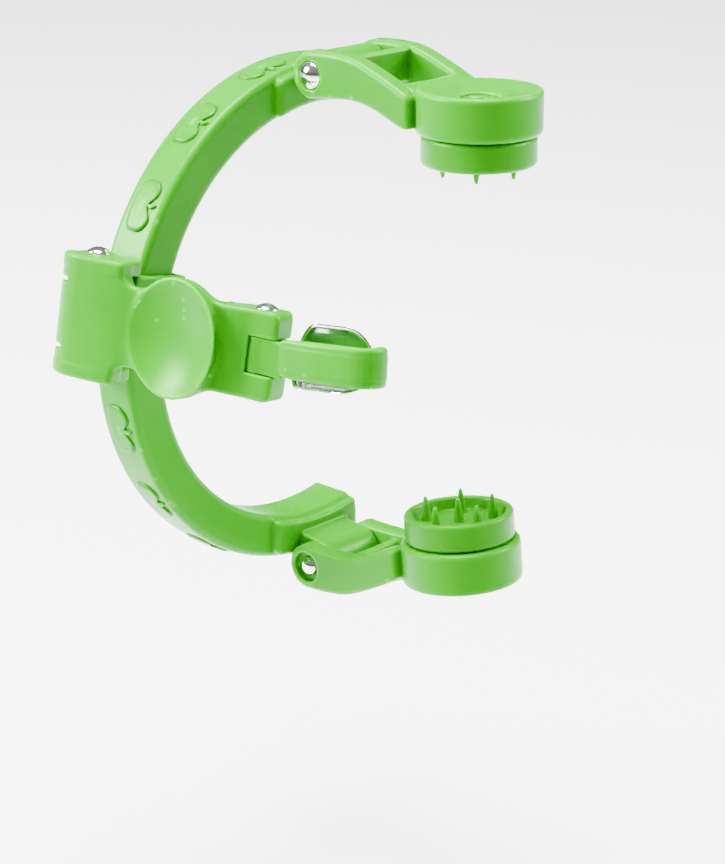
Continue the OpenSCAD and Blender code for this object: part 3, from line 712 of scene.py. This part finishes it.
def make_all():
    fine = FINE_STEP
    shell = Shell().field(bow_field, (-48, 25.8, -51), (11, 46.6, 51), fine)
    make_piece("bow", shell, BOW, "bow", "green_plastic", GREEN, "bow_frame")
    for number, angle in enumerate((-58.5, -36.8, -15.8, 33.8, 55.3, 77.3)):
        make_piece(f"bow_relief_{number + 1}", relief(angle), BOW, "bow", "green_plastic", GREEN)
    for side, place in (("upper", UPPER), ("lower", LOWER)):
        shell = Shell().field(arm_field, (-11, -41.3, -7.8), (11, 4.4, 4.6), fine)
        make_piece(f"{side}_clamp_arm", shell, place, f"{side}_clamp", "green_plastic", GREEN, f"{side}_arm")
        hub = place @ move(0, -ARM_LENGTH, -HUB_DROP)
        shell = Shell().field(cup_field, (-10.1, -10.1, -5.4), (10.1, 10.1, 7.4), fine * 0.85)
        for angle in [None] + [72 * i for i in range(5)]:
            spot = Matrix.Identity(4) if angle is None else turn("Z", -angle) @ move(6.4, 0, 0)
            shell.lathe(prong_profile(5.0), spot @ move(0, 0, -2.6) @ turn("X", 180), 24)
        cup = f"{side}_fruit_cup"
        make_piece(f"{cup}_piece", shell, hub, cup, "green_plastic", CUP_GREEN, f"{side}_cup")
        pin = Shell()
        pin.lathe(dome(2.45, 1.25, 0.45), move(-9.6, 0, 0) @ turn("Y", -90))
        pin.lathe(dome(1.9, 1.0, 0.3), move(9.0, 0, 0) @ turn("Y", 90))
        pin.lathe([(0, -9.7), (1.5, -9.7), (1.5, 9.1), (0, 9.1)], turn("Y", 90))
        make_piece(f"{side}_rivet", pin, place, f"{side}_clamp", "steel", STEEL, f"{side}_arm_pin")
    shell = Shell().field(slider_field, (-54.8, 35.3, -7.8), (-36, 47.8, 7.8), fine * 0.9)
    make_piece("slider", shell, HEAD, "slider", "green_plastic", GREEN, "slider_body")
    shell = Shell().field(keeper_field, (-39.6, 35.2, -7.8), (-36.5, 47.8, 7.8), 0.22)
    make_piece("keeper", shell, HEAD, "slider", "green_plastic", CUP_GREEN, "slider_keeper")
    shell = Shell().field(lever_field, (-7.6, -38.8, -10.9), (3.2, 5.9, 10.9), fine * 0.85)
    make_piece("lever", shell, LEVER, "lever", "green_plastic", GREEN, "peeling_lever")
    pin = Shell().lathe([(0, -10.6), (1.5, -10.6), (1.5, 10.6), (0, 10.6)])
    for flip in (0, 180):
        pin.lathe(dome(2.15, 0.95, 0.12), turn("X", flip) @ move(0, 0, 10.6))
    make_piece("lever_rivet", pin, LEVER, "lever", "steel", STEEL, "lever_pin")
    pin = Shell().lathe([(0, -7.5), (1.2, -7.5), (1.2, 7.5), (0, 7.5)])
    for flip in (0, 180):
        pin.lathe(dome(2.0, 0.85, 0.12), turn("X", flip) @ move(0, 0, 7.5))
    fork = LEVER @ move(0, -LEVER_LENGTH, 0)
    make_piece("holder_rivet", pin, fork, "lever", "steel", STEEL, "holder_pin")
    shell = Shell().field(holder_field, (-5, -23.6, -3.5), (3.1, 3.1, 5.9), fine * 0.7)
    make_piece("holder", shell, HOLDER, "holder", "green_plastic", GREEN, "blade_holder")
    make_piece("blade", blade_shell(), BLADE, "blade", "blade_steel", BLADE_STEEL, "peeling_blade")


# ---------------------------------------------------------------- stage
def make_stage():
    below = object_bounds()[0][2] - FLOOR_DROP
    bpy.ops.mesh.primitive_plane_add(size=FLOOR_SIZE, location=(0.0, 0.0, below))
    floor = bpy.context.object
    floor.name = "floor"
    material, tree, shader = new_material("floor_paper")
    shader.inputs["Base Color"].default_value = (0.45, 0.45, 0.45, 1)
    shader.inputs["Roughness"].default_value = 0.8
    shader.inputs["Emission Color"].default_value = (1, 1, 1, 1)
    shader.inputs["Emission Strength"].default_value = 2.1
    floor.data.materials.append(material)
    world = bpy.data.worlds.new("studio")
    world.use_nodes = True
    tree = world.node_tree
    place = tree.nodes.new("ShaderNodeTexCoord")
    split = tree.nodes.new("ShaderNodeSeparateXYZ")
    link(tree, place, "Generated", split, "Vector")
    greys = ((0.0, 0.25), (0.12, 0.45), (0.45, 1.0), (1.0, 1.0))
    sky = ramp(tree, [(height, (grey,) * 3) for height, grey in greys])
    link(tree, split, "Z", sky, "Fac")
    background = tree.nodes["Background"]
    link(tree, sky, "Color", background, "Color")
    background.inputs["Strength"].default_value = 0.3
    bpy.context.scene.world = world


def make_light(name, place, target, size, power):
    """A square soft light, with its place and target in metres."""
    data = bpy.data.lights.new(name, "AREA")
    data.shape = "SQUARE"
    data.size = size
    data.energy = power
    light = bpy.data.objects.new(name, data)
    light.location = place
    light.rotation_euler = (Vector(target) - Vector(place)).to_track_quat("-Z", "Y").to_euler()
    bpy.context.collection.objects.link(light)


make_camera()
make_all()
make_stage()
make_light("top", (-0.05, 0.1, 0.85), (0, 0, 0), 0.5, 75)
make_light("left", (-0.6, 0.55, 0.4), (0, 0, 0), 0.35, 62)
make_light("right", (0.34, -0.3, 0.2), (0.02, -0.03, 0), 0.2, 7)
